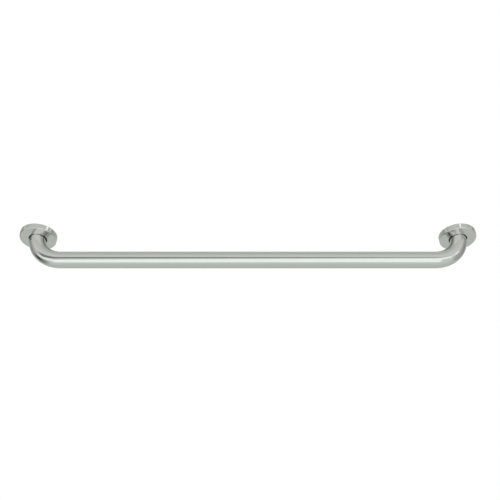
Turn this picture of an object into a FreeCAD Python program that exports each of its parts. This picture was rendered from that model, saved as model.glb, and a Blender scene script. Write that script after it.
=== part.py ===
"""Grab rail with concealed fixings, made of stainless steel.

A round tube is bent into a shallow U. Each end is welded into a round mounting flange, which three
tapping screws hold to a wall or panel. A dished cover fits over each flange and hides the screws.

Frame, in millimetres: the wall is the plane y = 0 and the rail stands out from it towards -Y. X runs
along the bar and Z is up. The origin is on the wall plane, midway between the two flanges.
"""

import FreeCAD
import Part

import math
import os

from FreeCAD import Vector

# ---- driving dimensions ---------------------------------------------------------------------------
centre_distance = 812.8  # 32 in, from one leg's axis to the other's
tube_diameter = 31.75  # 1 1/4 in
tube_wall = 1.5
bend_radius = 53.0  # to the tube's axis

flange_thickness = 3.0
flange_edge_chamfer = 0.4
flange_tube_clearance = 0.08
weld_leg = 2.8
weld_middle = 1.175  # from the tube, and from the flange, to the middle of the weld's hollow face
straight_past_weld = 2.2  # tube left straight between the weld and the bend
tube_end_recess = 0.6  # how far the tube's end stops short of the wall, so that it can't rock

cover_diameter = 70.0  # at the rim, next to the wall
cover_depth = 11.0  # from the wall to the front face
cover_sheet = 0.8
cover_taper = 0.25  # how much smaller in radius the front of the skirt is than its rim
cover_corner_radius = 1.8  # outside radius between the face and the skirt
cover_wall_gap = 0.2
cover_hole_clearance = 1.7  # on both sides of the tube, so that the cover can pass the start of the bend
cover_hole_headroom = 0.45  # above and below the tube
cover_hole_chamfer = 0.15  # where the punched edge is deburred
snap_clearance = 0.2  # between the cover's skirt and the flange

screw_places = ("inner", "upper", "lower")  # one screw each, evenly around the flange
screw_weld_clearance = 1.225  # between the screws' heads and the weld
screw_length = 13.0  # under the head
screw_major_diameter = 4.8
screw_core_diameter = 3.3
screw_neck_diameter = 4.2  # plain shank between the head and the thread
screw_pitch = 1.6
screw_crest = 0.2  # width of the thread's crest
screw_root = 0.14  # width of the flat between two turns of the thread
screw_tip_length = 4.3  # over which the thread tapers to a point
screw_head_diameter = 9.2
screw_head_height = 3.1
screw_head_edge = 0.9  # height of the head's straight rim
screw_shoulder_diameter = 6.6  # where the head's top turns down towards its rim
screw_shoulder_drop = 0.7  # of that place below the middle of the head
screw_hole_clearance = 0.8  # around the screw's thread, in radius
thread_start = 0.2  # from the wall plane to the middle of the first crest, inside the wall

drive_width = 4.6  # of the cross recess
drive_slot = 1.0
drive_depth = 1.9
drive_angles = (12.0, 71.0, 38.0, 55.0, 20.0, 83.0)  # how each screw's recess happens to stand

cut_overrun = 1.0  # how far a cutting tool reaches past the face that it cuts

# ---- what follows from them -----------------------------------------------------------------------
tube_radius = tube_diameter / 2
straight_leg = flange_thickness + weld_leg + straight_past_weld
projection = straight_leg + bend_radius  # from the wall to the bar's axis
cover_radius = cover_diameter / 2
cover_front_radius = cover_radius - cover_taper
cover_hole_radius = tube_radius + cover_hole_headroom  # of the oval hole's two round ends
weld_toe_radius = tube_radius + weld_leg
taper_per_mm = cover_taper / cover_depth
flange_radius = cover_radius - taper_per_mm * flange_thickness - cover_sheet - snap_clearance
screw_hole_radius = screw_major_diameter / 2 + screw_hole_clearance
screw_reach = screw_length - flange_thickness  # how far a screw's tip is inside the wall
screw_circle_radius = weld_toe_radius + screw_weld_clearance + screw_head_diameter / 2

OUT = Vector(0, -1, 0)  # away from the wall


def ring_point(radius, height):
    """A point of a profile that is turned about a leg's axis: radius from it, height from the wall."""
    return Vector(radius, -height, 0)


def turned(edges):
    """The solid that a closed outline makes when it is turned about a leg's axis."""
    face = Part.Face(Part.Wire(Part.__sortEdges__(edges)))
    return face.revolve(Vector(0, 0, 0), Vector(0, 1, 0), 360)


def outline(points):
    """Straight edges through the points and back to the first."""
    return [Part.makeLine(a, b) for a, b in zip(points, points[1:] + points[:1])]


def bent_tube():
    """The rail's tube: leg, bend, bar, bend and leg, hollow all the way."""
    half = centre_distance / 2
    knee = half - bend_radius
    slant = bend_radius * math.sqrt(0.5)
    foot_l, foot_r = Vector(-half, -tube_end_recess, 0), Vector(half, -tube_end_recess, 0)
    leg_l, leg_r = Vector(-half, -straight_leg, 0), Vector(half, -straight_leg, 0)
    bar_l, bar_r = Vector(-knee, -projection, 0), Vector(knee, -projection, 0)
    mid_l = Vector(-knee - slant, -straight_leg - slant, 0)
    mid_r = Vector(knee + slant, -straight_leg - slant, 0)
    path = Part.Wire(
        [
            Part.makeLine(foot_l, leg_l),
            Part.Arc(leg_l, mid_l, bar_l).toShape(),
            Part.makeLine(bar_l, bar_r),
            Part.Arc(bar_r, mid_r, leg_r).toShape(),
            Part.makeLine(leg_r, foot_r),
        ]
    )
    rims = [
        Part.Wire(Part.makeCircle(radius, foot_l, OUT))
        for radius in (tube_radius, tube_radius - tube_wall)
    ]
    outside, bore = (path.makePipeShell([rim], True, False) for rim in rims)
    return outside.cut(bore)


def mounting_flange(angles):
    """A round plate with a hole for the tube and a plain hole for each screw."""
    points = [
        ring_point(tube_radius + flange_tube_clearance, 0),
        ring_point(flange_radius - flange_edge_chamfer, 0),
        ring_point(flange_radius, flange_edge_chamfer),
        ring_point(flange_radius, flange_thickness - flange_edge_chamfer),
        ring_point(flange_radius - flange_edge_chamfer, flange_thickness),
        ring_point(tube_radius + flange_tube_clearance, flange_thickness),
    ]
    plate = turned(outline(points))
    for angle in angles:
        foot = screw_place(angle) - OUT * cut_overrun
        drill = Part.makeCylinder(screw_hole_radius, flange_thickness + 2 * cut_overrun, foot, OUT)
        plate = plate.cut(drill)
    return plate


def weld_bead():
    """The hollow-faced fillet weld between the tube and the flange's front."""
    root = ring_point(tube_radius, flange_thickness)
    toe = ring_point(weld_toe_radius, flange_thickness)
    top = ring_point(tube_radius, flange_thickness + weld_leg)
    dip = ring_point(tube_radius + weld_middle, flange_thickness + weld_middle)
    face = Part.Arc(toe, dip, top).toShape()
    return turned([Part.makeLine(root, toe), face, Part.makeLine(top, root)])


def corner(centre, radius, start, end):
    """The arc of a profile about centre, given as (radius, height), between two angles in degrees.

    An angle of 0 points away from the leg's axis and 90 away from the wall."""
    points = [
        ring_point(
            centre[0] + radius * math.cos(math.radians(a)), centre[1] + radius * math.sin(math.radians(a))
        )
        for a in (start, (start + end) / 2, end)
    ]
    return Part.Arc(*points).toShape(), points[0], points[2]


def cover_hole():
    """The punch for the cover's oval hole, which is longer along the bar than across it."""
    reach = cover_hole_clearance - cover_hole_headroom
    up = Vector(0, 0, cover_hole_radius)
    left, right = Vector(-reach, 0, 0), Vector(reach, 0, 0)
    side = Vector(cover_hole_radius, 0, 0)
    wire = Part.Wire(
        [
            Part.makeLine(left + up, right + up),
            Part.Arc(right + up, right + side, right - up).toShape(),
            Part.makeLine(right - up, left - up),
            Part.Arc(left - up, left - side, left + up).toShape(),
        ]
    )
    return Part.Face(wire).extrude(OUT * (cover_depth + cut_overrun))


def flange_cover():
    """The dished cover: skirt, rounded corner, and a flat face with an oval hole for the tube."""
    centre = (cover_front_radius - cover_corner_radius, cover_depth - cover_corner_radius)
    outer_corner, skirt_top, face_rim = corner(centre, cover_corner_radius, 0, 90)
    inner_corner, inner_skirt_top, inner_face_rim = corner(centre, cover_corner_radius - cover_sheet, 0, 90)
    rim = ring_point(cover_radius, cover_wall_gap)
    inner_rim = ring_point(cover_radius - cover_sheet, cover_wall_gap)
    middle, inner_middle = ring_point(0, cover_depth), ring_point(0, cover_depth - cover_sheet)
    dish = turned(
        [
            Part.makeLine(inner_rim, rim),
            Part.makeLine(rim, skirt_top),
            outer_corner,
            Part.makeLine(face_rim, middle),
            Part.makeLine(middle, inner_middle),
            Part.makeLine(inner_middle, inner_face_rim),
            inner_corner,
            Part.makeLine(inner_skirt_top, inner_rim),
        ]
    ).cut(cover_hole())
    # The punched edge on the face is nearer to the axis than the face's own rim, and lies in its plane.
    punched = [
        edge
        for edge in dish.Edges
        if all(abs(v.Y + cover_depth) < 1e-6 and abs(v.X) < face_rim.x - 1e-6 for v in edge.Vertexes)
    ]
    return dish.makeChamfer(cover_hole_chamfer, punched)


def thread_point(radius, height):
    """A point of the thread, whose full radius shrinks along the screw's tip."""
    return ring_point(radius * min(1, (screw_reach + height) / screw_tip_length), height)


def thread_points():
    """The outline of the screw's thread as a row of ridges, from the neck to the tip."""
    core, major = screw_core_diameter / 2, screw_major_diameter / 2
    flank = (screw_pitch - screw_crest - screw_root) / 2
    points = []
    height = screw_crest / 2 - thread_start
    while height - screw_pitch > -screw_reach:
        points += [
            thread_point(major, height),
            thread_point(major, height - screw_crest),
            thread_point(core, height - screw_crest - flank),
            thread_point(core, height - screw_pitch + flank),
        ]
        height -= screw_pitch
    return points + [ring_point(0, -screw_reach)]


def pan_head_screw(drive_angle):
    """A pan head tapping screw on a leg's axis, seated on the flange's front, with a cross recess."""
    neck, head = screw_neck_diameter / 2, screw_head_diameter / 2
    top = flange_thickness + screw_head_height
    rim = ring_point(head, flange_thickness + screw_head_edge)
    crown = ring_point(0, top)
    shoulder = ring_point(screw_shoulder_diameter / 2, top - screw_shoulder_drop)
    points = [
        rim,
        ring_point(head, flange_thickness),
        ring_point(neck, flange_thickness),
        ring_point(neck, screw_crest),
    ]
    points += thread_points()
    edges = [Part.makeLine(a, b) for a, b in zip(points, points[1:])]
    edges += [Part.makeLine(points[-1], crown), Part.Arc(crown, shoulder, rim).toShape()]
    blank = turned(edges)
    slot = Part.makeBox(drive_width, drive_depth + cut_overrun, drive_slot)
    slot.translate(Vector(-drive_width / 2, -top - cut_overrun, -drive_slot / 2))
    for turn in (0, 90):
        tool = slot.copy()
        tool.rotate(Vector(0, 0, 0), OUT, drive_angle + turn)
        blank = blank.cut(tool)
    return blank


def screw_place(angle):
    """Where a screw stands on the wall plane, from its leg's axis, at an angle from +X towards +Z."""
    turn = math.radians(angle)
    return Vector(screw_circle_radius * math.cos(turn), 0, screw_circle_radius * math.sin(turn))


def screw_angles(side):
    """Even angles around the leg, with the first screw towards the rail's middle and the next above."""
    inner = 180 if side > 0 else 0
    turn = 360 / len(screw_places)
    return [inner - side * step * turn for step in range(len(screw_places))]


def end_pieces(label, side):
    """Every piece of one end but the tube, in place: name to shape. side is +1 at +X."""
    angles = screw_angles(side)
    pieces = {
        f"{label}_mounting_flange": mounting_flange(angles),
        f"{label}_weld_bead": weld_bead(),
        f"{label}_flange_cover": flange_cover(),
    }
    first = 0 if side < 0 else len(screw_places)
    for step, (place, angle) in enumerate(zip(screw_places, angles)):
        screw = pan_head_screw(drive_angles[(first + step) % len(drive_angles)])
        screw.translate(screw_place(angle))
        pieces[f"{label}_screw_{place}"] = screw
    for shape in pieces.values():
        shape.translate(Vector(side * centre_distance / 2, 0, 0))
    return pieces


def main():
    """Makes every piece, checks that it is a closed solid, and writes one STEP file for each."""
    os.makedirs("parts", exist_ok=True)
    pieces = {"grab_tube": bent_tube(), **end_pieces("left", -1), **end_pieces("right", 1)}
    for name, shape in pieces.items():
        if not shape.isValid() or len(shape.Solids) != 1:
            raise ValueError(f"{name} is not one valid solid")
        shape.Solids[0].exportStep(f"parts/{name}.step")
        print(f"{name}: {shape.Volume:.1f} mm3")


main()
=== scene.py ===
"""The looks of a stainless steel wall grab rail with concealed fixings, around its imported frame.

The rail is a bent tube with a flange welded to each end. Three tapping screws hold each flange to the
wall, and a push-fit cover hides them. Every length is in metres unless its name says otherwise. The
wall is the plane y = 0, the rail stands out towards -Y, X runs along the bar, and Z is up.
"""

import logging
import math
from collections.abc import Callable, Iterable, Sequence
from dataclasses import dataclass
from enum import Enum
from typing import Any, ClassVar

import bmesh
import bpy
from bmesh.types import BMesh, BMVert
from bpy.types import Material, Mesh, Node, NodeSocket, NodeTree, Object
from mathutils import Matrix, Vector


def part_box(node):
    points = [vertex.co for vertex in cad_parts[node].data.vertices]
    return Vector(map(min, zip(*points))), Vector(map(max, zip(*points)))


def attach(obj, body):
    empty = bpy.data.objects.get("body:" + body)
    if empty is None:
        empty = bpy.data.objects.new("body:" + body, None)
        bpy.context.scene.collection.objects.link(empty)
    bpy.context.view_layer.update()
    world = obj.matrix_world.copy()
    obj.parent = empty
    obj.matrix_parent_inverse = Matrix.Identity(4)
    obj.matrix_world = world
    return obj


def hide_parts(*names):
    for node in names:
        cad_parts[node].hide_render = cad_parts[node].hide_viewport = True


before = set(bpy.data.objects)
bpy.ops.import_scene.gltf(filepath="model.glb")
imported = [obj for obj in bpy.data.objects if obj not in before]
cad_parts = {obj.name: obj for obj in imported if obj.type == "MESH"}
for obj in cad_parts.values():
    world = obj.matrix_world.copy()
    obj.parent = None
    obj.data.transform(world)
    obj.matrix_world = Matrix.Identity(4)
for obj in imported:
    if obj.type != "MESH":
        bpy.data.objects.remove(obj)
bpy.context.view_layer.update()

LOG = logging.getLogger("grab_rail")
MM = 0.001
LAY = "lay"  # mesh attribute: where a point lies on its piece before bending and placing, in metres
NOISE_SPAN = (0.6, 1.4)  # where the sum of two noise values mostly lies
OVAL_SHARPNESS = 12.0  # how quickly an oval hole's pull changes sides where it crosses the middle

Section = list[tuple[float, float]]  # (distance from the leg's axis, height from the wall)


class Side(Enum):
    """An end of the rail. The value is the sign of its X."""

    LEFT = -1
    RIGHT = 1

    @property
    def label(self) -> str:
        """The word that the frame's nodes and bodies start with."""
        return self.name.lower()


class Grain(Enum):
    """Which way the fine lines of a surface run."""

    ROUND_THE_TUBE = "round the tube, from polishing belts"
    TURNED = "in circles about the piece's axis, from spinning or buffing"
    STRAIGHT = "straight across the piece, from rolling the sheet"


# ---- materials ----


def linear(code: str) -> tuple[float, float, float, float]:
    """Turns an sRGB colour into the linear colour that a shader takes.

    Args:
        code: The colour as six hex digits after a hash sign.

    Returns:
        Linear red, green and blue, and an alpha of 1.
    """
    parts = [int(code[i : i + 2], 16) / 255 for i in (1, 3, 5)]
    r, g, b = (c / 12.92 if c <= 0.04045 else ((c + 0.055) / 1.055) ** 2.4 for c in parts)
    return r, g, b, 1.0


def add_node(tree: NodeTree, kind: str, inputs: dict[Any, Any], **settings: Any) -> Node:
    """Adds a node with its settings and its links.

    Args:
        tree: The node tree that the node goes in.
        kind: The node's type name, without the "ShaderNode" that all of them start with.
        inputs: Input name or index to a constant, or to the output socket that feeds it.
        **settings: The node's own properties.

    Returns:
        The new node.
    """
    node = tree.nodes.new("ShaderNode" + kind)
    for name, value in settings.items():
        setattr(node, name, value)
    for key, value in inputs.items():
        if isinstance(value, NodeSocket):
            tree.links.new(value, node.inputs[key])
        else:
            node.inputs[key].default_value = value
    return node


@dataclass(frozen=True)
class SteelFinish:
    """A stainless steel surface: its colour, its gloss, and the lines that finishing leaves on it."""

    name: str
    shade: str
    worn_shade: str
    roughness: float
    roughness_spread: float
    grain: Grain
    line_spacing: float
    line_depth: float
    line_length: float
    cloud_size: float
    ripple_size: float
    ripple_depth: float
    ripple_stretch: float = 1.0  # how many times longer a ripple is along the leg's or tube's axis

    def from_axis(self, tree: NodeTree, place: NodeSocket) -> tuple[Node, NodeSocket]:
        """Measures how far a point is from the piece's axis.

        Args:
            tree: The material's node tree.
            place: The point's place on the piece.

        Returns:
            The node that splits the place into its parts, and the distance's socket.
        """
        parts = add_node(tree, "SeparateXYZ", {0: place})
        flat = add_node(tree, "CombineXYZ", {0: parts.outputs[0], 2: parts.outputs[2]})
        radius = add_node(tree, "VectorMath", {0: flat.outputs[0]}, operation="LENGTH")
        return parts, radius.outputs["Value"]

    def line_pattern(self, tree: NodeTree, place: NodeSocket) -> NodeSocket:
        """Makes the finishing lines, long in the grain's direction and narrow across it.

        Args:
            tree: The material's node tree.
            place: The point's place on the piece.

        Returns:
            A socket with a value from 0 to 1.
        """
        across, along = 1 / self.line_spacing, 1 / self.line_length
        if self.grain is Grain.TURNED:
            parts, radius = self.from_axis(tree, place)
            x, y, z = parts.outputs
            # On the skirt the distance from the axis hardly changes, so the height has to draw the lines.
            reach = add_node(tree, "Math", {0: radius, 1: y}, operation="SUBTRACT")
            place = add_node(tree, "CombineXYZ", {0: x, 1: reach.outputs[0], 2: z}).outputs[0]
        scale = (across, along, along) if self.grain is Grain.STRAIGHT else (along, across, along)
        mapped = add_node(tree, "Mapping", {"Vector": place, "Scale": scale})
        noise = add_node(
            tree,
            "TexNoise",
            {"Vector": mapped.outputs[0], "Scale": 1.0, "Detail": 3.0, "Roughness": 0.6},
        )
        return noise.outputs["Fac"]

    def blotches(self, tree: NodeTree, place: NodeSocket, size: float, stretch: float = 1.0) -> NodeSocket:
        """Makes soft, uneven patches.

        Args:
            tree: The material's node tree.
            place: The point's place on the piece.
            size: How large a patch is.
            stretch: How many times longer it is along the piece's axis.

        Returns:
            A socket with a value from 0 to 1.
        """
        scale = (1 / size, 1 / size / stretch, 1 / size)
        mapped = add_node(tree, "Mapping", {"Vector": place, "Scale": scale})
        noise = add_node(tree, "TexNoise", {"Vector": mapped.outputs[0], "Scale": 1.0, "Detail": 2.0})
        return noise.outputs["Fac"]

    def tint(self, tree: NodeTree, place: NodeSocket, clouds: NodeSocket) -> NodeSocket:
        """Mixes the clean and the handled colour of the steel.

        Args:
            tree: The material's node tree.
            place: The point's place on the piece, which a finish with a tint of its own reads.
            clouds: A value from 0 to 1 that says how handled the steel is.

        Returns:
            The colour's socket.
        """
        mix = add_node(
            tree,
            "Mix",
            {"Factor": clouds, "A": linear(self.shade), "B": linear(self.worn_shade)},
            data_type="RGBA",
        )
        return mix.outputs["Result"]

    def make(self) -> Material:
        """Builds the material.

        Returns:
            A material with a metallic shader, patterned in roughness, colour and relief.
        """
        material = bpy.data.materials.new(self.name)
        material.use_nodes = True
        tree = material.node_tree
        shader = tree.nodes["Principled BSDF"]
        shader.inputs["Metallic"].default_value = 1.0
        place = add_node(tree, "Attribute", {}, attribute_name=LAY).outputs["Vector"]
        lines = self.line_pattern(tree, place)
        clouds = self.blotches(tree, place, self.cloud_size)
        ripples = self.blotches(tree, place, self.ripple_size, self.ripple_stretch)
        mixed = add_node(tree, "Math", {0: lines, 1: clouds}, operation="ADD")
        gloss = add_node(
            tree,
            "MapRange",
            {
                "Value": mixed.outputs[0],
                "From Min": NOISE_SPAN[0],
                "From Max": NOISE_SPAN[1],
                "To Min": self.roughness - self.roughness_spread,
                "To Max": self.roughness + self.roughness_spread,
            },
        )
        wavy = add_node(tree, "Bump", {"Height": ripples, "Distance": self.ripple_depth})
        lined = add_node(
            tree, "Bump", {"Height": lines, "Distance": self.line_depth, "Normal": wavy.outputs[0]}
        )
        tree.links.new(self.tint(tree, place, clouds), shader.inputs["Base Color"])
        tree.links.new(gloss.outputs[0], shader.inputs["Roughness"])
        tree.links.new(lined.outputs[0], shader.inputs["Normal"])
        return material


@dataclass(frozen=True)
class HeatTintedSteel(SteelFinish):
    """Stainless steel that a weld has coloured in a ring around the tube."""

    hot_shade: str = "#A1978A"
    straw_shade: str = "#CDC3AC"
    weld_edge: float = 18.7 * MM
    tint_width: float = 5.0 * MM

    def tint(self, tree: NodeTree, place: NodeSocket, clouds: NodeSocket) -> NodeSocket:
        """Adds rings of heat tint to the plain colour, fading away from the weld.

        Args:
            tree: The material's node tree.
            place: The point's place on the piece, from which the distance to the tube is taken.
            clouds: A value from 0 to 1 that makes the tint's edge uneven.

        Returns:
            The colour's socket.
        """
        plain = super().tint(tree, place, clouds)
        _, radius = self.from_axis(tree, place)
        uneven = add_node(
            tree,
            "Math",
            {0: clouds, 1: self.tint_width / 2, 2: radius},
            operation="MULTIPLY_ADD",
        )
        far = self.weld_edge + self.tint_width
        away = add_node(
            tree,
            "MapRange",
            {"Value": uneven.outputs[0], "From Min": self.weld_edge, "From Max": far},
        )
        ring = add_node(
            tree,
            "Mix",
            {"Factor": away.outputs[0], "A": linear(self.hot_shade), "B": linear(self.straw_shade)},
            data_type="RGBA",
        )
        mix = add_node(
            tree,
            "Mix",
            {"Factor": away.outputs[0], "A": ring.outputs["Result"], "B": plain},
            data_type="RGBA",
        )
        return mix.outputs["Result"]


# Grade 304 tube, linished round with belts and then buffed bright. The buffing keeps reflections sharp
# across the bar and the belt lines smear them a little along it. The real lines are about 0.1 mm apart,
# which is too fine to show, so they are drawn about 0.9 mm apart.
POLISHED_TUBE = SteelFinish(
    name="polished_304_tube",
    shade="#D3D4D1",
    worn_shade="#CFD0CC",
    roughness=0.11,
    roughness_spread=0.025,
    grain=Grain.ROUND_THE_TUBE,
    line_spacing=0.9 * MM,
    line_depth=0.0008 * MM,
    line_length=40 * MM,
    cloud_size=38 * MM,
    ripple_size=7 * MM,
    ripple_depth=0.03 * MM,
    ripple_stretch=26.0,
)

# Grade 304 sheet, pressed into a dish and buffed on a spindle. The face mirrors the tube, a little softly,
# and the sheet is never quite flat. Buffing lines are drawn 0.8 mm apart, since real ones wouldn't show.
BUFFED_COVER = SteelFinish(
    name="buffed_pressed_304_sheet",
    shade="#D3D4D1",
    worn_shade="#CDCFCB",
    roughness=0.13,
    roughness_spread=0.03,
    grain=Grain.TURNED,
    line_spacing=0.8 * MM,
    line_depth=0.001 * MM,
    line_length=30 * MM,
    cloud_size=16 * MM,
    ripple_size=14 * MM,
    ripple_depth=0.012 * MM,
)

# Grade 304 plate as it comes from the mill: dull grey, with straight rolling lines, tinted by the weld.
MILL_FLANGE = HeatTintedSteel(
    name="mill_finish_304_plate",
    shade="#C4C5C1",
    worn_shade="#B6B7B2",
    roughness=0.34,
    roughness_spread=0.07,
    grain=Grain.STRAIGHT,
    line_spacing=0.7 * MM,
    line_depth=0.004 * MM,
    line_length=22 * MM,
    cloud_size=9 * MM,
    ripple_size=20 * MM,
    ripple_depth=0.01 * MM,
)

# Weld metal as laid with a tungsten arc: rippled, satin, and browned where it cooled last.
TINTED_WELD = HeatTintedSteel(
    name="tungsten_arc_weld",
    shade="#BBB7AD",
    worn_shade="#A69E90",
    roughness=0.3,
    roughness_spread=0.08,
    grain=Grain.TURNED,
    line_spacing=0.6 * MM,
    line_depth=0.004 * MM,
    line_length=3 * MM,
    cloud_size=4 * MM,
    ripple_size=3 * MM,
    ripple_depth=0.02 * MM,
    weld_edge=16.5 * MM,
    tint_width=4.0 * MM,
)

# Cold-headed stainless tapping screw: tumbled after rolling, so it is evenly satin with rounded highlights.
TUMBLED_SCREW = SteelFinish(
    name="tumbled_stainless_screw",
    shade="#CACBC8",
    worn_shade="#B8B9B5",
    roughness=0.26,
    roughness_spread=0.06,
    grain=Grain.TURNED,
    line_spacing=0.5 * MM,
    line_depth=0.001 * MM,
    line_length=6 * MM,
    cloud_size=3 * MM,
    ripple_size=2 * MM,
    ripple_depth=0.004 * MM,
)


# ---- mesh work ----


def about_axis(radius: float, turn: float, height: float) -> Vector:
    """Places a point about the leg's axis, which is Y through the origin."""
    return Vector((radius * math.cos(turn), -height, radius * math.sin(turn)))


def arc(centre: tuple[float, float], radius: float, start: float, end: float, steps: int) -> Section:
    """Samples an arc of a section.

    Args:
        centre: The arc's centre, as distance from the axis and height.
        radius: The arc's radius.
        start: The first angle in degrees. 0 points away from the axis and 90 away from the wall.
        end: The last angle in degrees.
        steps: How many straight steps stand for the arc.

    Returns:
        The points, ends included.
    """
    turns = [math.radians(start + (end - start) * i / steps) for i in range(steps + 1)]
    return [(centre[0] + radius * math.cos(t), centre[1] + radius * math.sin(t)) for t in turns]


def held(points: Section, hold: float = 0.06 * MM) -> Section:
    """Adds a point close to both ends of every long straight stretch of a closed section.

    The surface there keeps its own normals, so that a flat polished face reflects flatly up to its edge.

    Args:
        points: The section's points in order.
        hold: How far from the end of the stretch the point goes.

    Returns:
        The section with the points added.
    """
    out: Section = []
    for a, b in zip(points, points[1:] + points[:1]):
        out.append(a)
        length = math.dist(a, b)
        if length > 5 * hold:
            for share in (hold / length, 1 - hold / length):
                out.append((a[0] + (b[0] - a[0]) * share, a[1] + (b[1] - a[1]) * share))
    return out


def loft(rings: Sequence[Sequence[Vector]], closed: bool = True) -> BMesh:
    """Joins rings of points into a surface.

    Args:
        rings: Rings with the same number of points. A ring of one point is a tip.
        closed: Whether the last ring joins the first.

    Returns:
        The surface, with its normals outward.
    """
    bm = bmesh.new()
    made = [[bm.verts.new(p) for p in ring] for ring in rings]
    pairs = list(zip(made, made[1:] + made[:1])) if closed else list(zip(made, made[1:]))
    for one, other in pairs:
        count = max(len(one), len(other))
        for i in range(count):
            j = (i + 1) % count
            corners = [one[i % len(one)], one[j % len(one)], other[j % len(other)], other[i % len(other)]]
            bm.faces.new(list(dict.fromkeys(corners)))
    bmesh.ops.recalc_face_normals(bm, faces=bm.faces)
    return bm


def turned(section: Section, segments: int, stretch: Callable[[float], float] = lambda radius: 0.0) -> BMesh:
    """Turns a closed section about the leg's axis, which is Y through the origin.

    Args:
        section: The closed section.
        segments: How many steps go round.
        stretch: For a ring's radius, how far its two halves are pulled apart along the bar, which makes
            an oval of the ring.

    Returns:
        The closed surface.
    """
    angles = [2 * math.pi * i / segments for i in range(segments)]
    rings = []
    for r, h in section:
        pulls = [stretch(r) * max(-1.0, min(1.0, OVAL_SHARPNESS * math.cos(a))) for a in angles]
        rings.append([Vector((r * math.cos(a) + x, -h, r * math.sin(a))) for a, x in zip(angles, pulls)])
    return loft(rings)


def to_mesh(bm: BMesh, name: str, sharp_degrees: float) -> Mesh:
    """Turns mesh work into a mesh with smooth faces between sharp edges, and frees the work.

    Args:
        bm: The mesh work.
        name: The mesh's name.
        sharp_degrees: An edge that turns by more than this stays sharp.

    Returns:
        The mesh.
    """
    mesh = bpy.data.meshes.new(name)
    bm.to_mesh(mesh)
    bm.free()
    mesh.shade_smooth()
    mesh.set_sharp_from_angle(angle=math.radians(sharp_degrees))
    return mesh


def carve(body: Mesh, tools: Iterable[Mesh], sharp_degrees: float) -> Mesh:
    """Cuts tool shapes out of a body.

    Args:
        body: The closed mesh to cut.
        tools: Closed meshes, which are removed afterwards.
        sharp_degrees: An edge of the result that turns by more than this is sharp.

    Returns:
        The cut mesh, under the body's name.
    """
    name = body.name
    scene = bpy.context.scene.collection
    blank = bpy.data.objects.new(name + "_blank", body)
    scene.objects.link(blank)
    cutters = [bpy.data.objects.new(name + "_cutter", tool) for tool in tools]
    for cutter in cutters:
        scene.objects.link(cutter)
        cut = blank.modifiers.new("cut", "BOOLEAN")
        cut.operation = "DIFFERENCE"
        cut.solver = "EXACT"
        cut.object = cutter
    bpy.context.view_layer.update()
    result = bpy.data.meshes.new_from_object(blank.evaluated_get(bpy.context.evaluated_depsgraph_get()))
    for used in [blank, *cutters]:
        data = used.data
        bpy.data.objects.remove(used)
        bpy.data.meshes.remove(data)
    result.name = name
    result.shade_smooth()
    result.set_sharp_from_angle(angle=math.radians(sharp_degrees))
    return result


def remember_lay(mesh: Mesh, places: Iterable[Vector]) -> None:
    """Stores where each point lies on its piece, for the patterns to read.

    Args:
        mesh: The mesh.
        places: The place of each of its points, in their order.
    """
    attribute = mesh.attributes.new(LAY, "FLOAT_VECTOR", "POINT")
    attribute.data.foreach_set("vector", [c for place in places for c in place])


def set_on_wall(mesh: Mesh, x: float, z: float = 0.0) -> Mesh:
    """Remembers a mesh's places about its own axis, then moves it to that axis's place on the wall.

    Args:
        mesh: The mesh, about its own axis.
        x: The axis's place along the bar.
        z: The axis's place up the wall.

    Returns:
        The same mesh, in its place.
    """
    remember_lay(mesh, (v.co for v in mesh.vertices))
    mesh.transform(Matrix.Translation((x, 0, z)))
    return mesh


def show(mesh: Mesh, material: Material, body: str, node: str) -> Object:
    """Puts a finished mesh in the scene in place of its node.

    Args:
        mesh: The mesh, in the rail's frame. Its name becomes the piece's.
        material: What it is made of.
        body: The body that it rides on.
        node: The node that it stands for.

    Returns:
        The piece.
    """
    mesh.materials.clear()
    mesh.materials.append(material)
    piece = bpy.data.objects.new(mesh.name, mesh)
    bpy.context.scene.collection.objects.link(piece)
    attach(piece, body)
    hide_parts(node)
    LOG.info("%s: %d faces, stands for %s on %s", piece.name, len(mesh.polygons), node, body)
    return piece


# ---- the rail's pieces ----


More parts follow.
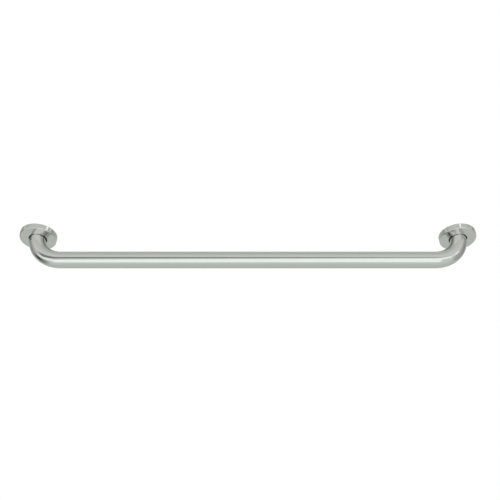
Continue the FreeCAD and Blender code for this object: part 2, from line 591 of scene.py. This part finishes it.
@dataclass
class GrabTube:
    """The bent tube, with both legs and the bar between them."""

    radius: float
    half_span: float
    projection: float
    foot: float
    bend_radius: float = 53.0 * MM
    wall: float = 1.5 * MM
    end_round: float = 0.3 * MM
    seam_height: float = 0.25 * MM
    seam_width: float = 1.6 * MM
    segments: int = 120
    bend_steps: int = 90
    sharp_degrees: float = 40.0

    @classmethod
    def from_frame(cls) -> "GrabTube":
        """Reads the tube's sizes from the frame's box of its node."""
        low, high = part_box("grab_tube")
        radius = (high.z - low.z) / 2
        return cls(radius=radius, half_span=high.x - radius, projection=-low.y - radius, foot=-high.y)

    def stations(self) -> list[tuple[float, Vector, Vector]]:
        """Walks along the tube's axis from the left foot to the right foot.

        Returns:
            For each ring, how far along it is, its centre, and the direction of the outside of the bend.
        """
        leg = self.projection - self.bend_radius
        knee = self.half_span - self.bend_radius
        hold = 0.2 * MM
        out: list[tuple[float, Vector, Vector]] = []
        for height in (self.foot, self.foot + hold, leg - hold):
            out.append((height - self.foot, Vector((-self.half_span, -height, 0)), Vector((-1, 0, 0))))
        start = leg - self.foot
        bend = self.bend_radius * math.pi / 2
        for i in range(self.bend_steps + 1):
            turn = math.pi / 2 * i / self.bend_steps
            outside = Vector((-math.cos(turn), -math.sin(turn), 0))
            centre = Vector((-knee, -leg, 0)) + outside * self.bend_radius
            out.append((start + bend * i / self.bend_steps, centre, outside))
        middle = start + bend + knee
        for x in (-knee + hold, -knee / 2, 0.0):
            out.append((middle + x, Vector((x, -self.projection, 0)), Vector((0, -1, 0))))
        mirrored = [
            (2 * middle - s, Vector((-c.x, c.y, 0)), Vector((-o.x, o.y, 0))) for s, c, o in reversed(out[:-1])
        ]
        return out + mirrored

    def ring(self, station: tuple[float, Vector, Vector], radius: float, inside: bool) -> list[Vector]:
        """Places the points of one ring.

        Args:
            station: A station of the tube's axis.
            radius: The ring's radius.
            inside: Whether the ring is in the bore, where the tube's own seam stands proud.

        Returns:
            The ring's points.
        """
        points = []
        for i in range(self.segments):
            turn = 2 * math.pi * i / self.segments
            reach = radius
            if inside:
                off_seam = (turn - math.pi) * radius / self.seam_width
                reach -= self.seam_height * math.exp(-off_seam * off_seam)
            up = Vector((0, 0, reach * math.sin(turn)))
            points.append(station[1] + station[2] * (reach * math.cos(turn)) + up)
        return points

    def build(self) -> Mesh:
        """Builds the tube's wall, inside and out.

        Returns:
            The closed mesh, with its places along the straight tube stored.
        """
        stations = self.stations()
        bore = self.radius - self.wall
        outer = [(s, self.radius, False) for s in stations]
        outer[0] = (stations[0], self.radius - self.end_round, False)
        outer[-1] = (stations[-1], self.radius - self.end_round, False)
        inner = [(s, bore, True) for s in reversed(stations)]
        order = outer + inner
        rings = [self.ring(*entry) for entry in order]
        turns = [2 * math.pi * i / self.segments for i in range(self.segments)]
        mesh = to_mesh(loft(rings), "polished_grab_tube", self.sharp_degrees)
        remember_lay(mesh, (about_axis(r, turn, -s[0]) for s, r, _ in order for turn in turns))
        return mesh

    def dress(self, mesh: Mesh) -> Object:
        """Gives the tube its finish and shows it."""
        return show(mesh, POLISHED_TUBE.make(), "root", "grab_tube")


@dataclass
class EndPiece:
    """A piece at one end of the rail, made about the axis of that end's leg."""

    body: ClassVar[str] = "root"  # what it rides on, with {} for its end
    node: ClassVar[str]  # what it stands for, after its end
    slot: ClassVar[str]

    side: Side
    axis_x: float

    def dress(self, mesh: Mesh, finish: Material) -> Object:
        """Gives the piece its finish and shows it.

        Args:
            mesh: The piece's mesh, in its place.
            finish: What it is made of.

        Returns:
            The piece.
        """
        body = self.body.format(self.side.label)
        return show(mesh, finish, body, f"{self.side.label}_{self.node}")


@dataclass
class FlangeCover(EndPiece):
    """The pressed cover that hides a flange."""

    body = "{}_cover"
    node = "flange_cover"
    slot = "cover_steel"

    radius: float
    depth: float
    wall_gap: float
    tube_radius: float
    sheet: float = 0.8 * MM
    taper: float = 0.25 * MM
    corner_radius: float = 1.8 * MM
    hole_clearance: float = 1.7 * MM
    hole_headroom: float = 0.45 * MM
    edge_round: float = 0.15 * MM
    segments: int = 240
    sharp_degrees: float = 40.0

    @classmethod
    def from_frame(cls, side: Side, tube: GrabTube) -> "FlangeCover":
        """Reads the sizes of one end's cover from the frame's box of its node."""
        low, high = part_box(f"{side.label}_flange_cover")
        return cls(side, (low.x + high.x) / 2, (high.z - low.z) / 2, -low.y, -high.y, tube.radius)

    def section(self) -> Section:
        """Draws the pressed sheet's section: skirt, corner, face and punched hole."""
        front, hole = self.radius - self.taper, self.tube_radius + self.hole_headroom
        centre = (front - self.corner_radius, self.depth - self.corner_radius)
        inner_hole = self.depth - self.sheet
        return (
            arc((self.radius - self.edge_round, self.wall_gap + self.edge_round), self.edge_round, -90, 0, 3)
            + arc(centre, self.corner_radius, 0, 90, 14)
            + arc((hole + self.edge_round, self.depth - self.edge_round), self.edge_round, 90, 180, 4)
            + [(hole, inner_hole)]
            + arc(centre, self.corner_radius - self.sheet, 90, 0, 8)
            + [(self.radius - self.sheet, self.wall_gap)]
        )

    def oval(self, radius: float) -> float:
        """Pulls only the rings next to the hole into its oval."""
        near = self.tube_radius + self.hole_clearance + self.edge_round
        return self.hole_clearance - self.hole_headroom if radius < near else 0.0

    def build(self) -> Mesh:
        """Builds the cover, in its place."""
        bm = turned(held(self.section()), self.segments, self.oval)
        mesh = to_mesh(bm, f"{self.side.label}_push_fit_cover", self.sharp_degrees)
        return set_on_wall(mesh, self.axis_x)


@dataclass
class MountingFlange(EndPiece):
    """The plate that the screws hold to the wall."""

    node = "mounting_flange"
    slot = "flange_steel"

    radius: float
    thickness: float
    tube_radius: float
    screw_places: list[Vector]
    tube_clearance: float = 0.08 * MM
    edge_round: float = 0.4 * MM
    screw_hole_radius: float = 3.2 * MM
    screw_hole_edge: float = 0.2 * MM
    overrun: float = 1.0 * MM  # how far the drill reaches past the plate
    segments: int = 160
    hole_segments: int = 56
    sharp_degrees: float = 35.0

    @classmethod
    def from_frame(cls, side: Side, tube: GrabTube, screws: "list[TappingScrew]") -> "MountingFlange":
        """Reads the flange's sizes from the frame's box of its node.

        Args:
            side: Which end it is at.
            tube: The tube that is welded into it.
            screws: The screws that go through it.

        Returns:
            The flange with the frame's sizes.
        """
        low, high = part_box(f"{side.label}_mounting_flange")
        axis_x = (low.x + high.x) / 2
        places = [Vector((s.axis_x - axis_x, 0, s.axis_z)) for s in screws]
        return cls(side, axis_x, (high.z - low.z) / 2, -low.y, tube.radius, places)

    def section(self) -> Section:
        """Draws the plate's section, with both edges rounded by tumbling."""
        hole, edge = self.tube_radius + self.tube_clearance, self.edge_round
        return (
            [(hole, 0.0)]
            + arc((self.radius - edge, edge), edge, -90, 0, 5)
            + arc((self.radius - edge, self.thickness - edge), edge, 0, 90, 5)
            + [(hole, self.thickness)]
        )

    def drill(self, place: Vector) -> Mesh:
        """Makes the tool for one screw hole, which leaves a small countersunk edge on both faces.

        Args:
            place: Where the hole is, from the flange's axis.

        Returns:
            The tool's closed mesh.
        """
        hole, edge = self.screw_hole_radius, self.screw_hole_edge
        mouth, top = hole + edge + self.overrun, self.thickness + self.overrun
        section = ((mouth, -self.overrun), (hole, edge), (hole, self.thickness - edge), (mouth, top))
        angles = [2 * math.pi * i / self.hole_segments for i in range(self.hole_segments)]
        rings = [[about_axis(r, a, h) for a in angles] for r, h in section]
        tips = [[Vector((0, -h, 0))] for h in (-self.overrun, top)]
        tool = to_mesh(loft([tips[0], *rings, tips[1]], closed=False), "drill", self.sharp_degrees)
        tool.transform(Matrix.Translation(place))
        return tool

    def build(self) -> Mesh:
        """Builds the plate and drills it, in its place."""
        plate = turned(held(self.section()), self.segments)
        blank = to_mesh(plate, f"{self.side.label}_flange_plate", self.sharp_degrees)
        mesh = carve(blank, [self.drill(place) for place in self.screw_places], self.sharp_degrees)
        return set_on_wall(mesh, self.axis_x)


@dataclass
class WeldBead(EndPiece):
    """The fillet weld between a flange and the tube, laid as a row of overlapping pools."""

    node = "weld_bead"
    slot = "weld_metal"

    tube_radius: float
    foot: float
    leg: float
    pool_spacing: float = 1.9 * MM
    ripple_height: float = 0.12 * MM
    middle: float = 1.175 * MM  # from the root to the middle of the hollow face, along either leg
    pool_lag: float = 0.9  # how far a pool's edge lags at the toes, as a share of a pool
    section_steps: int = 14
    steps_per_pool: int = 8
    sharp_degrees: float = 50.0

    @classmethod
    def from_frame(cls, side: Side, tube: GrabTube) -> "WeldBead":
        """Reads the sizes of one end's weld from the frame's box of its node."""
        low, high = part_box(f"{side.label}_weld_bead")
        return cls(side, (low.x + high.x) / 2, tube.radius, -high.y, high.y - low.y)

    def section(self, ripple: Callable[[float], float]) -> Section:
        """Draws the weld's section at one place round the tube.

        Args:
            ripple: How much lower the surface lies, for a share of the way from the flange to the tube.

        Returns:
            The closed section: the root, then the hollow face.
        """
        pull = 2 * self.middle - self.leg / 2  # control point that takes the curve through its middle
        points = [(self.tube_radius, self.foot)]
        for i in range(self.section_steps + 1):
            t = i / self.section_steps
            away = self.leg * (1 - t) ** 2 + 2 * pull * t * (1 - t)
            up = self.leg * t**2 + 2 * pull * t * (1 - t)
            sink = ripple(t) * math.sin(math.pi * t) / math.sqrt(2)
            points.append((self.tube_radius + away - sink, self.foot + up - sink))
        return points

    def build(self) -> Mesh:
        """Builds the bead.

        Returns:
            The closed mesh, in its place.
        """
        pools = round(2 * math.pi * (self.tube_radius + self.leg / 2) / self.pool_spacing)
        segments = pools * self.steps_per_pool
        columns = []
        for i in range(segments):
            turn = 2 * math.pi * i / segments

            def ripple(t: float, turn: float = turn) -> float:
                """Each pool's edge is a bow: it lags at both toes of the weld."""
                lag = self.pool_lag * (2 * t - 1) ** 2
                phase = (turn * pools / (2 * math.pi) + lag) % 1.0
                return self.ripple_height * phase**2

            columns.append([about_axis(r, turn, h) for r, h in self.section(ripple)])
        rings = [list(ring) for ring in zip(*columns)]
        mesh = to_mesh(loft(rings), f"{self.side.label}_rippled_weld", self.sharp_degrees)
        return set_on_wall(mesh, self.axis_x)


@dataclass
class TappingScrew(EndPiece):
    """A pan head tapping screw with a cross recess, its thread a real right-hand helix."""

    slot = "screw_steel"

    place: str
    axis_z: float
    seat: float
    head_radius: float
    head_top: float
    tip: float
    recess_turn: float
    head_edge: float = 0.9 * MM
    neck_radius: float = 2.1 * MM
    core_radius: float = 1.65 * MM
    crest_radius: float = 2.4 * MM
    pitch: float = 1.6 * MM
    crest_width: float = 0.2 * MM
    root_width: float = 0.14 * MM
    point_length: float = 4.3 * MM
    shoulder_radius: float = 3.3 * MM
    shoulder_drop: float = 0.7 * MM
    recess_width: float = 4.6 * MM
    recess_slot: float = 1.0 * MM
    recess_depth: float = 1.9 * MM
    overrun: float = 0.6 * MM  # how far the recess's tool reaches above the head
    recess_flare: float = 1.12  # the recess's size up there, against its named size
    recess_floor: float = 0.5  # its size at the bottom
    slot_share: float = 0.6  # how much of that change the arms' width follows
    run_in: float = 0.6  # turns over which the thread grows to its full height
    run_out: float = 1.6  # turns left out below the thread, for the point
    thinnest: float = 0.04  # the tip's radius, as a share of the full one
    steps: int = 40
    crown_steps: int = 12
    sharp_degrees: float = 32.0

    @classmethod
    def from_frame(cls, side: Side, place: str, seat: float, recess_turn: float) -> "TappingScrew":
        """Reads the screw's place and sizes from the frame's box of its node.

        Args:
            side: Which end it is at.
            place: Which of the end's screws it is.
            seat: How far from the wall its head's underside is.
            recess_turn: How its recess stands, in degrees.

        Returns:
            The screw with the frame's sizes.
        """
        low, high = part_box(f"{side.label}_screw_{place}")
        head = (high.x - low.x) / 2
        centre = (low + high) / 2
        return cls(side, centre.x, place, centre.z, seat, head, -low.y, high.y, recess_turn)

    @property
    def node(self) -> str:
        """What it stands for, after its end."""
        return f"screw_{self.place}"

    def circle(self, radius: float, height: float) -> list[Vector]:
        """Places a ring that turns right-handed about the direction into the wall."""
        turns = [2 * math.pi * i / self.steps for i in range(self.steps)]
        return [Vector((radius * math.sin(t), -height, radius * math.cos(t))) for t in turns]

    def head_rings(self) -> list[list[Vector]]:
        """Draws the pan head and its neck, from the crown down to the start of the thread.

        Returns:
            The rings, the first of them a tip.
        """
        crown, rim = self.head_top, self.seat + self.head_edge
        drop = crown - rim
        rings = [[Vector((0, -crown, 0))]]
        blend = math.log(self.shoulder_drop / drop) / math.log(self.shoulder_radius / self.head_radius)
        for i in range(1, self.crown_steps + 1):
            share = math.sin(math.pi / 2 * i / self.crown_steps)
            rings.append(self.circle(self.head_radius * share, crown - drop * share**blend))
        rings += [
            self.circle(self.head_radius, rim - 0.08 * MM),
            self.circle(self.head_radius, self.seat + 0.12 * MM),
            self.circle(self.head_radius - 0.1 * MM, self.seat),
            self.circle(self.neck_radius + 0.1 * MM, self.seat),
            self.circle(self.neck_radius, self.seat - 0.1 * MM),
            self.circle(self.neck_radius, 0.2 * MM),
        ]
        return rings

    def taper(self, height: float) -> float:
        """How thin the screw is near its point, as a share of its full radius."""
        into_point = max(0.0, -height - (self.tip - self.point_length))
        return max(self.thinnest, 1 - into_point / self.point_length)

    def thread(self, bm: BMesh, top: list[BMVert]) -> None:
        """Winds the thread below a ring of vertices, and closes it in a point.

        Args:
            bm: The mesh work that holds the ring.
            top: The ring of the neck, which the first turn hangs from.
        """
        flank = (self.pitch - self.crest_width - self.root_width) / 2
        drops = (0.0, flank, flank + self.crest_width, 2 * flank + self.crest_width)
        radii = (self.core_radius, self.crest_radius, self.crest_radius, self.core_radius)
        turns = int((self.tip - self.run_out * self.pitch) / self.pitch)
        rows = []
        for i in range(turns * self.steps + 1):
            angle = 2 * math.pi * i / self.steps
            start = -self.pitch * i / self.steps
            grown = min(1.0, i / (self.run_in * self.steps))
            row = []
            for drop, radius in zip(drops, radii):
                height = start - drop
                reach = (self.core_radius + (radius - self.core_radius) * grown) * self.taper(height)
                row.append(bm.verts.new((reach * math.sin(angle), -height, reach * math.cos(angle))))
            rows.append(row)
        for one, other in zip(rows, rows[1:]):
            for k in range(3):
                bm.faces.new((one[k], one[k + 1], other[k + 1], other[k]))
        for one, other, below, below_next in zip(rows, rows[1:], rows[self.steps :], rows[self.steps + 1 :]):
            bm.faces.new((one[3], below[0], below_next[0], other[3]))
        # The neck's ring meets the first turn's upper edge, and a fan closes the step between its two ends.
        edge = [row[0] for row in rows[: self.steps + 1]]
        for i in range(self.steps):
            bm.faces.new((top[i], edge[i], edge[i + 1], top[(i + 1) % self.steps]))
        first = rows[0]
        bm.faces.new((top[0], edge[self.steps], first[3], first[2], first[1], first[0]))
        last = [row[3] for row in rows[-self.steps - 1 :]]
        point = bm.verts.new((0, self.tip, 0))
        for one, other in zip(last, last[1:]):
            bm.faces.new((one, point, other))
        bm.faces.new((*rows[-1], point, rows[-self.steps - 1][3]))

    def recess(self) -> Mesh:
        """Makes the tool for the cross recess, whose arms narrow towards the bottom.

        Returns:
            The tool's closed mesh.
        """
        rings = []
        mouth = (self.head_top + self.overrun, self.recess_flare)
        floor = (self.head_top - self.recess_depth, self.recess_floor)
        for height, grow in (mouth, floor):
            long = self.recess_width / 2 * grow
            half = self.recess_slot / 2 * (1 - self.slot_share + self.slot_share * grow)
            outline = []
            for quarter in range(4):
                turn = math.radians(self.recess_turn + 90 * quarter)
                for along, aside in ((half, half), (long, half), (long, -half)):
                    x = along * math.cos(turn) + aside * math.sin(turn)
                    z = along * math.sin(turn) - aside * math.cos(turn)
                    outline.append(Vector((x, -height, z)))
            rings.append(outline)
        middle = [[Vector((0, ring[0].y, 0))] for ring in rings]
        return to_mesh(loft([middle[0], *rings, middle[1]], closed=False), "recess", self.sharp_degrees)

    def build(self) -> Mesh:
        """Builds the screw.

        Returns:
            The closed mesh, in its place.
        """
        bm = loft(self.head_rings(), closed=False)
        bm.verts.ensure_lookup_table()
        self.thread(bm, bm.verts[-self.steps :])
        bmesh.ops.recalc_face_normals(bm, faces=bm.faces)
        blank = to_mesh(bm, f"{self.side.label}_{self.place}_tapping_screw", self.sharp_degrees)
        mesh = carve(blank, [self.recess()], self.sharp_degrees)
        return set_on_wall(mesh, self.axis_x, self.axis_z)


# ---- the studio ----


@dataclass(frozen=True)
class Panel:
    """A patch of the surroundings that is brighter or darker than the rest, in degrees.

    A height of 0 is in front, 90 overhead, 180 behind and -90 below. A side of -90 is off the rail's left
    end, 0 square to the bar and 90 off its right end.
    """

    low: float
    high: float
    left: float
    right: float
    gain: float
    softness: float = 8.0
    low_climb: float = 0.0  # how much higher the patch's lower edge is for each degree to the right
    high_climb: float = 0.0

    def mask(self, tree: NodeTree, height: NodeSocket, side: NodeSocket) -> NodeSocket:
        """Makes the patch with soft edges.

        Args:
            tree: The world's node tree.
            height: The direction's height in degrees.
            side: The direction's side in degrees.

        Returns:
            A socket that is the gain inside the patch and 0 outside it.
        """
        over_low, over_high = (
            add_node(tree, "Math", {0: side, 1: -climb, 2: height}, operation="MULTIPLY_ADD").outputs[0]
            for climb in (self.low_climb, self.high_climb)
        )
        half = self.softness / 2
        edges = (
            (over_low, self.low, half),
            (over_high, self.high, -half),
            (side, self.left, half),
            (side, self.right, -half),
        )
        total: float | NodeSocket = self.gain
        for value, edge, reach in edges:
            share = add_node(
                tree,
                "MapRange",
                {"Value": value, "From Min": edge - reach, "From Max": edge + reach},
                interpolation_type="SMOOTHSTEP",
            )
            total = add_node(tree, "Math", {0: share.outputs[0], 1: total}, operation="MULTIPLY").outputs[0]
        return total


# The soft light round the rail: height in degrees to colour, the same all along the bar.
SURROUNDINGS = (
    (-180, "#ACADAA"),
    (-150, "#BDBEBB"),
    (-100, "#CACCC9"),
    (-60, "#D5D8D4"),
    (-20, "#DADDDA"),
    (5, "#E4E8E6"),
    (60, "#E4E9E7"),
    (100, "#EAEBE8"),
    (120, "#E4E4E1"),
    (140, "#D8D9D6"),
    (160, "#C0C1BE"),
    (180, "#ACADAA"),
)

PANELS = (
    # The softbox over the front, then how it goes on round the left bend and the right one.
    Panel(low=21, high=66, left=-30, right=26, gain=0.62, softness=10, low_climb=0.12, high_climb=0.5),
    Panel(low=24, high=57, left=-66, right=-30, gain=0.5, softness=9, low_climb=-0.2, high_climb=-0.1),
    Panel(low=57, high=79, left=26, right=48, gain=0.6),
    Panel(low=74, high=98, left=48, right=66, gain=0.5, softness=9),
    # The unlit gap between the softbox and the ceiling.
    Panel(low=80, high=92.5, left=-54, right=90, gain=-0.68, softness=4, low_climb=0.34, high_climb=-0.08),
    # The darker room off the left end and off the right end.
    Panel(low=-181, high=181, left=-120, right=-62, gain=-0.3, softness=14),
    Panel(low=-181, high=181, left=60, right=120, gain=-0.35, softness=14),
    # A black flag and a small fill card, both off the left end.
    Panel(low=-72, high=14, left=-130, right=-45, gain=-0.6, softness=22),
    Panel(low=42, high=72, left=-76, right=-62, gain=0.45, softness=9),
)


def stage(name: str, bm: BMesh, stuff: str, inputs: dict[str, Any]) -> Object:
    """Sets up something that the studio needs and that isn't part of the rail.

    Args:
        name: Its name.
        bm: Its mesh work, which is freed.
        stuff: What it is made of, which names its material.
        inputs: The values of its shader's inputs.

    Returns:
        The staged object.
    """
    mesh = bpy.data.meshes.new(name)
    bm.to_mesh(mesh)
    bm.free()
    material = bpy.data.materials.new(stuff)
    material.use_nodes = True
    for key, value in inputs.items():
        material.node_tree.nodes["Principled BSDF"].inputs[key].default_value = value
    mesh.materials.append(material)
    staged = bpy.data.objects.new(name, mesh)
    bpy.context.scene.collection.objects.link(staged)
    return staged


@dataclass
class Studio:
    """The pale floor, the soft light round the rail, and the camera."""

    target: Vector
    floor_depth: float = 0.45
    floor_size: float = 60.0
    floor_shade: str = "#F2F2F2"
    floor_glow: float = 0.3
    sweep_radius: float = 25.0
    strip_place: tuple[float, float, float] = (0.73, 0.87, 0.79)
    strip_size: tuple[float, float] = (0.05, 1.0)
    strip_radiance: float = 1.7
    elevation: float = 52.9
    azimuth: float = 0.1
    roll: float = 0.08
    distance: float = 1.241
    lens_mm: float = 47.3
    shift: tuple[float, float] = (0.004, 0.02)

    def lay_floor(self) -> None:
        """Lays a white light table under the rail, well below it, so that no shadow shows."""
        bm = bmesh.new()
        bmesh.ops.create_grid(bm, x_segments=8, y_segments=8, size=self.floor_size / 2)
        inputs = {
            "Base Color": linear(self.floor_shade),
            "Roughness": 0.9,
            "Specular IOR Level": 0.1,
            "Emission Color": linear("#FFFFFF"),
            "Emission Strength": self.floor_glow,
        }
        floor = stage("studio_floor", bm, "opal_acrylic_light_table", inputs)
        floor.location.z = -self.floor_depth
        floor.visible_glossy = False  # what the steel reflects from below is the surroundings' lower half

    def raise_sweep(self) -> None:
        """Raises a plain white paper sweep all round, which takes no part in the light."""
        bm = bmesh.new()
        bmesh.ops.create_icosphere(bm, subdivisions=4, radius=self.sweep_radius)
        inputs = {
            "Base Color": linear("#000000"),
            "Specular IOR Level": 0.0,
            "Emission Color": linear("#FFFFFF"),
            "Emission Strength": 1.0,
        }
        sweep = stage("studio_sweep", bm, "white_background_paper", inputs)
        sweep.data.materials[0].cycles.emission_sampling = "NONE"
        for kind in ("diffuse", "glossy", "transmission", "shadow"):
            setattr(sweep, f"visible_{kind}", False)

    def hang_light(self) -> None:
        """Surrounds the rail with soft light and its panels."""
        world = bpy.data.worlds.new("soft_studio")
        world.use_nodes = True
        tree = world.node_tree
        direction = add_node(tree, "TexCoord", {}).outputs["Generated"]
        parts = add_node(tree, "SeparateXYZ", {0: direction})
        front = add_node(tree, "Math", {0: parts.outputs[1], 1: -1.0}, operation="MULTIPLY")
        turn = add_node(tree, "Math", {0: parts.outputs[2], 1: front.outputs[0]}, operation="ARCTAN2")
        height = add_node(tree, "Math", {0: turn.outputs[0]}, operation="DEGREES").outputs[0]
        lean = add_node(tree, "Math", {0: parts.outputs[0]}, operation="ARCSINE")
        side = add_node(tree, "Math", {0: lean.outputs[0]}, operation="DEGREES").outputs[0]
        share = add_node(tree, "MapRange", {"Value": height, "From Min": -180.0, "From Max": 180.0})
        ramp = add_node(tree, "ValToRGB", {"Fac": share.outputs[0]})
        elements = ramp.color_ramp.elements
        for degrees, shade in SURROUNDINGS:
            elements.new((degrees + 180) / 360).color = linear(shade)
        elements.remove(elements[0])
        elements.remove(elements[-1])
        strength: float | NodeSocket = 1.0
        for panel in PANELS:
            strength = add_node(
                tree, "Math", {0: panel.mask(tree, height, side), 1: strength}, operation="ADD"
            ).outputs[0]
        background = tree.nodes["Background"]
        tree.links.new(strength, background.inputs["Strength"])
        tree.links.new(ramp.outputs["Color"], background.inputs["Color"])
        bpy.context.scene.world = world

    def hang_strip(self, lit: Sequence[Object]) -> None:
        """Hangs a narrow strip lamp above, behind and past the right end.

        Args:
            lit: The only pieces that it lights.
        """
        width, length = self.strip_size
        data = bpy.data.lights.new("strip_lamp", "AREA")
        data.shape = "RECTANGLE"
        data.size, data.size_y = width, length
        data.energy = math.pi * width * length * self.strip_radiance
        lamp = bpy.data.objects.new("strip_lamp", data)
        lamp.location = self.strip_place
        towards = Vector(self.strip_place) * -1
        lamp.rotation_mode = "QUATERNION"
        lamp.rotation_quaternion = towards.to_track_quat("-Z", "Y")
        lamp.visible_camera = False
        bpy.context.scene.collection.objects.link(lamp)
        flagged = bpy.data.collections.new("lit_by_the_strip")
        for piece in lit:
            flagged.objects.link(piece)
        lamp.light_linking.receiver_collection = flagged

    def stand_camera(self) -> None:
        """Stands the camera in front of the rail and above it."""
        up, round_ = math.radians(self.elevation), math.radians(self.azimuth)
        gaze = Vector((math.sin(round_) * math.cos(up), math.cos(round_) * math.cos(up), -math.sin(up)))
        data = bpy.data.cameras.new("camera")
        data.lens = self.lens_mm
        data.shift_x, data.shift_y = self.shift
        camera = bpy.data.objects.new("camera", data)
        camera.location = self.target - gaze * self.distance
        camera.rotation_mode = "QUATERNION"
        level = gaze.to_track_quat("-Z", "Y").to_matrix()
        roll = Matrix.Rotation(math.radians(self.roll), 3, "Z")
        camera.rotation_quaternion = (level @ roll).to_quaternion()
        bpy.context.scene.collection.objects.link(camera)
        bpy.context.scene.camera = camera
        bpy.context.scene.view_settings.view_transform = "Standard"


# ---- all together ----

SCREW_PLACES = ("inner", "upper", "lower")
RECESS_TURNS = {
    Side.LEFT: (12.0, 71.0, 38.0),
    Side.RIGHT: (55.0, 20.0, 83.0),
}


def build_end(side: Side, tube: GrabTube, finishes: dict[str, Material]) -> Object:
    """Builds every piece of one end but the tube.

    Args:
        side: Which end.
        tube: The tube.
        finishes: The materials by the kind of piece.

    Returns:
        The cover.
    """
    low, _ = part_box(f"{side.label}_mounting_flange")
    screws = [
        TappingScrew.from_frame(side, place, -low.y, turn)
        for place, turn in zip(SCREW_PLACES, RECESS_TURNS[side])
    ]
    flange = MountingFlange.from_frame(side, tube, screws)
    flange.dress(flange.build(), finishes["flange"])
    weld = WeldBead.from_frame(side, tube)
    weld.dress(weld.build(), finishes["weld"])
    for screw in screws:
        screw.dress(screw.build(), finishes["screw"])
    cover = FlangeCover.from_frame(side, tube)
    return cover.dress(cover.build(), finishes["cover"])


def main() -> None:
    """Builds the rail and the studio, in order."""
    logging.basicConfig(level=logging.INFO, format="%(name)s: %(message)s")
    tube = GrabTube.from_frame()
    tube.dress(tube.build())
    finishes = {
        "flange": MILL_FLANGE.make(),
        "weld": TINTED_WELD.make(),
        "screw": TUMBLED_SCREW.make(),
        "cover": BUFFED_COVER.make(),
    }
    covers = [build_end(side, tube, finishes) for side in Side]
    studio = Studio(target=Vector((0, -tube.projection, 0)))
    studio.lay_floor()
    studio.raise_sweep()
    studio.hang_light()
    studio.hang_strip(covers)
    studio.stand_camera()


if __name__ == "__main__":
    main()
